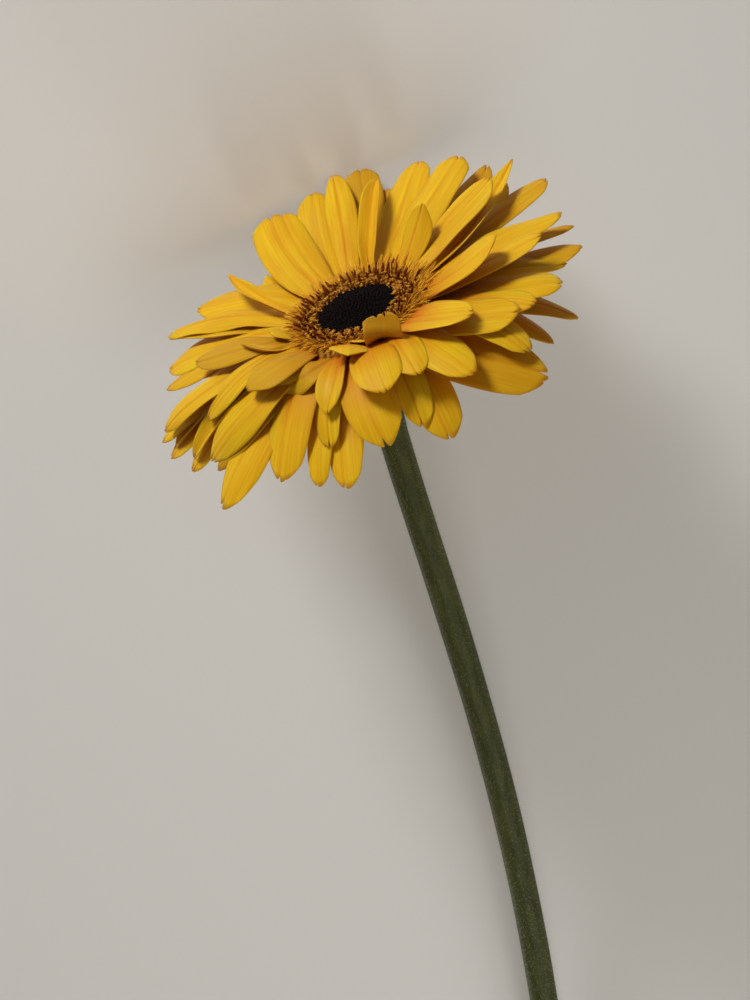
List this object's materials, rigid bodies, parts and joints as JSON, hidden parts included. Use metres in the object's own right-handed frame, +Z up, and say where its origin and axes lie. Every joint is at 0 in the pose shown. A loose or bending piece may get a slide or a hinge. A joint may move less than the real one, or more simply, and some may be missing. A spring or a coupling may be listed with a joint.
{
  "type": "gerbera daisy",
  "caption": "Cut yellow gerbera daisy lying on a surface: a dark-eyed bloom of layered strap petals on one bare, gently bowed stem.",
  "frame": {"origin": "middle of the footprint of the whole lying flower, at the level of the surface it rests on", "axes": "+Z up from the surface, +Y along the stem from its cut end to the bloom, +X to the right seen from the cut end"},
  "size_m": [0.1052, 0.3224, 0.085],
  "materials": {
    "scape": "matt, finely hairy green stem",
    "bract": "matt, downy green",
    "ray_floret": "satin golden yellow petal with fine lengthwise grooves",
    "disc_floret": "matt golden brown",
    "disc_bud": "matt near-black brown"
  },
  "bodies": {
    "root": {"scape": "scape", "involucre": "bract", "ray_florets": "ray_floret", "disc_florets": "disc_floret", "disc_centre": "disc_bud"}
  },
  "joints": []
}
